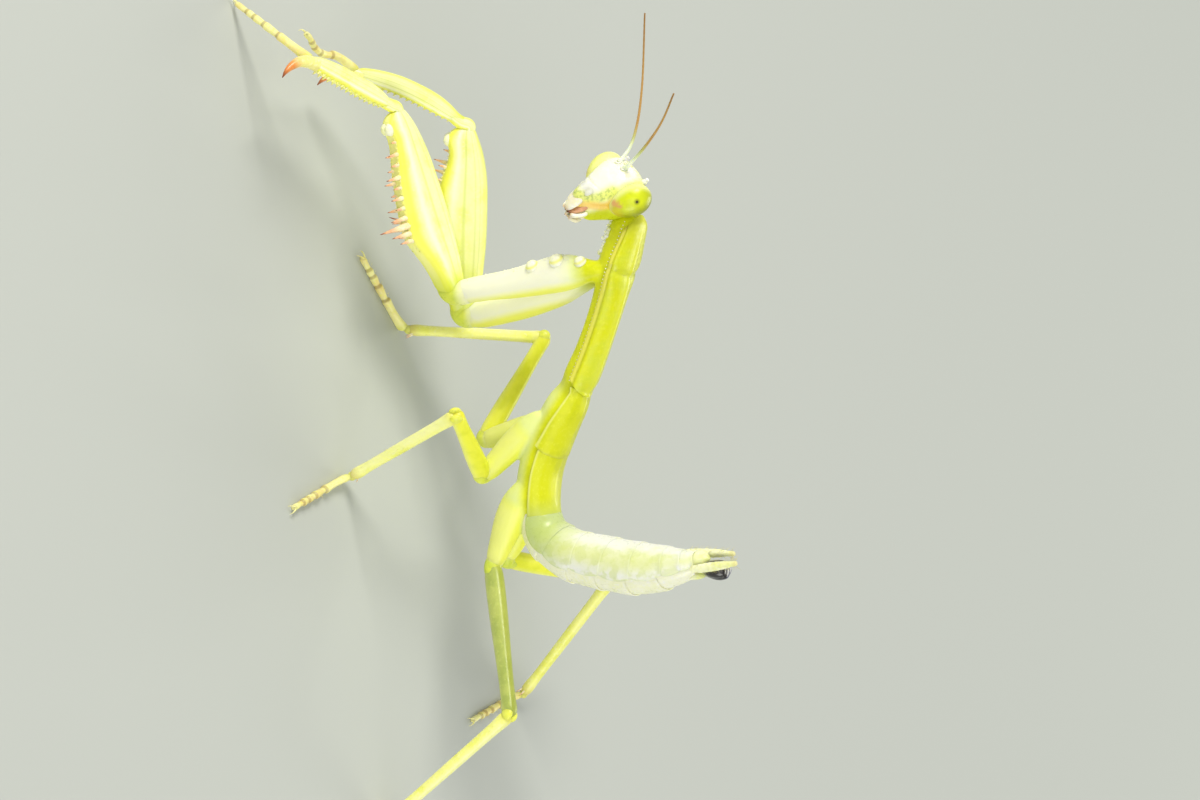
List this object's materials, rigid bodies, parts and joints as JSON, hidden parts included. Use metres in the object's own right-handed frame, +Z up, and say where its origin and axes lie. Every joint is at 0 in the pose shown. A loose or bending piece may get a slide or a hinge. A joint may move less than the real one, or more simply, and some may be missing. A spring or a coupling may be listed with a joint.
{
  "type": "praying mantis",
  "caption": "Life-size green praying mantis nymph, standing on its walking legs with its grasping legs reaching forward and its abdomen curled up.",
  "frame": {"origin": "on the floor, under the middle of the whole animal", "axes": "+Z up, the head towards -Y, the animal's left side towards +X"},
  "size_m": [0.0296, 0.0628, 0.03],
  "materials": {
    "cuticle_head": "waxy yellow-green cuticle, pale on the face",
    "eye": "glossy yellow-green compound eye with a dark false pupil",
    "mouthparts": "pink to red-brown, soft sheen",
    "feeler": "pale green at the base to tan-brown, ringed",
    "cuticle_thorax": "waxy yellow-green cuticle with lighter margins",
    "cuticle_abdomen": "pale green, slightly translucent, cream edges",
    "cuticle_coxa": "cream to pale green, yellow tubercles on the grasping legs",
    "cuticle_leg": "pale yellow-green, waxy, with pinkish dark-tipped spines",
    "foot": "tan with brown joints",
    "cercus": "cream with fine hairs",
    "tail_tip": "dark brown-black"
  },
  "bodies": {
    "root": {"pronotum": "cuticle_thorax", "prothorax": "cuticle_thorax", "mesothorax": "cuticle_thorax", "metathorax": "cuticle_thorax", "abdomen_1": "cuticle_abdomen", "abdomen_2": "cuticle_abdomen", "abdomen_3": "cuticle_abdomen", "abdomen_4": "cuticle_abdomen", "abdomen_5": "cuticle_abdomen", "abdomen_6": "cuticle_abdomen", "tail_valves": "tail_tip", "cercus_left": "cercus", "cercus_right": "cercus", "head": "cuticle_head", "eye_left": "eye", "eye_right": "eye", "mouthparts": "mouthparts", "antenna_left": "feeler", "antenna_right": "feeler", "neck": "cuticle_thorax", "fore_coxa_left": "cuticle_coxa", "fore_femur_left": "cuticle_leg", "fore_tibia_left": "cuticle_leg", "fore_tarsus_left": "foot", "mid_coxa_left": "cuticle_coxa", "mid_femur_left": "cuticle_leg", "mid_tibia_left": "cuticle_leg", "mid_tarsus_left": "foot", "hind_coxa_left": "cuticle_coxa", "hind_femur_left": "cuticle_leg", "hind_tibia_left": "cuticle_leg", "hind_tarsus_left": "foot", "fore_coxa_right": "cuticle_coxa", "fore_femur_right": "cuticle_leg", "fore_tibia_right": "cuticle_leg", "fore_tarsus_right": "foot", "mid_coxa_right": "cuticle_coxa", "mid_femur_right": "cuticle_leg", "mid_tibia_right": "cuticle_leg", "mid_tarsus_right": "foot", "hind_coxa_right": "cuticle_coxa", "hind_femur_right": "cuticle_leg", "hind_tibia_right": "cuticle_leg", "hind_tarsus_right": "foot"}
  },
  "joints": []
}
